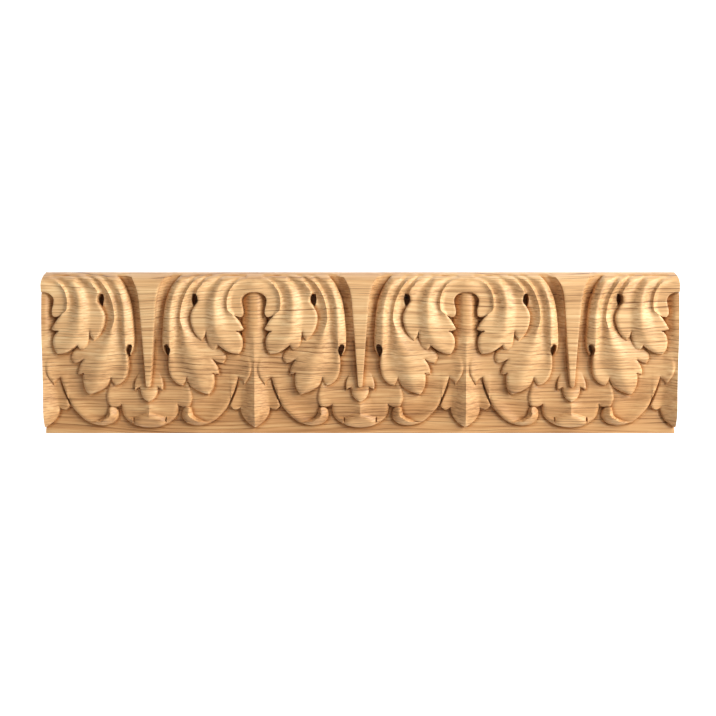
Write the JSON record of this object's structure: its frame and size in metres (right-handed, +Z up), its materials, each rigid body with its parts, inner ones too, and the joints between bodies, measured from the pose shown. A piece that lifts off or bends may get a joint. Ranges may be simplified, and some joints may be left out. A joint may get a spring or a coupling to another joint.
{
  "type": "carved moulding",
  "caption": "Straight length of carved oak moulding: hooked acanthus leaves under a plain rounded crown, with pendant leaves and darts by turns.",
  "frame": {"origin": "middle of the flat back, half-way along and half-way up", "axes": "+X along the moulding, -Y out of the carved front, +Z up towards the crown"},
  "size_m": [0.312, 0.025, 0.08],
  "materials": {
    "oak": "satin"
  },
  "bodies": {
    "root": {"carved_moulding": "oak"}
  },
  "joints": []
}
